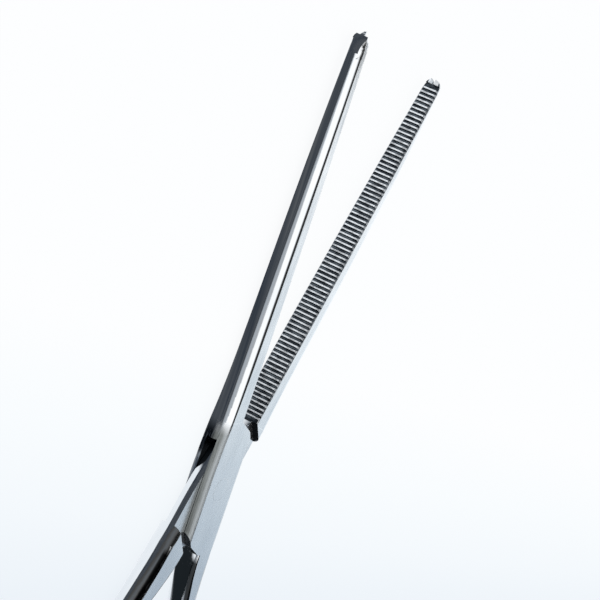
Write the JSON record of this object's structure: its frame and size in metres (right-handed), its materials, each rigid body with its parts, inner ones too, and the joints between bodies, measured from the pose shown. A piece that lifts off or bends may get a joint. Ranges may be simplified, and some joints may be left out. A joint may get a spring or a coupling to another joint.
{
  "type": "hemostat forceps",
  "caption": "Straight haemostatic forceps with a box lock, long serrated jaws, toothed tips, ratchet bars and finger rings, for clamping vessels and tissue.",
  "frame": {"origin": "centre of the rivet's lower face, on the lock's underside", "axes": "+X along the middle between the jaws towards their tips, +Y to the side of the jaw that carries the single tooth, +Z along the rivet"},
  "size_m": [0.1966, 0.102, 0.004],
  "materials": {
    "box_steel": "polished backs, satin flats",
    "tongue_steel": "polished backs, satin flats",
    "rivet_steel": "satin"
  },
  "bodies": {
    "box": {"box_half": "box_steel", "lock_rivet": "rivet_steel"},
    "tongue": {"tongue_half": "tongue_steel"}
  },
  "joints": [
    {"name": "lock_pivot", "type": "hinge", "parent": "box", "child": "tongue", "pos_m": [0, 0, 0.00202], "axis": [0, 0, 1], "range_deg": [-37.4, 22.6]}
  ]
}
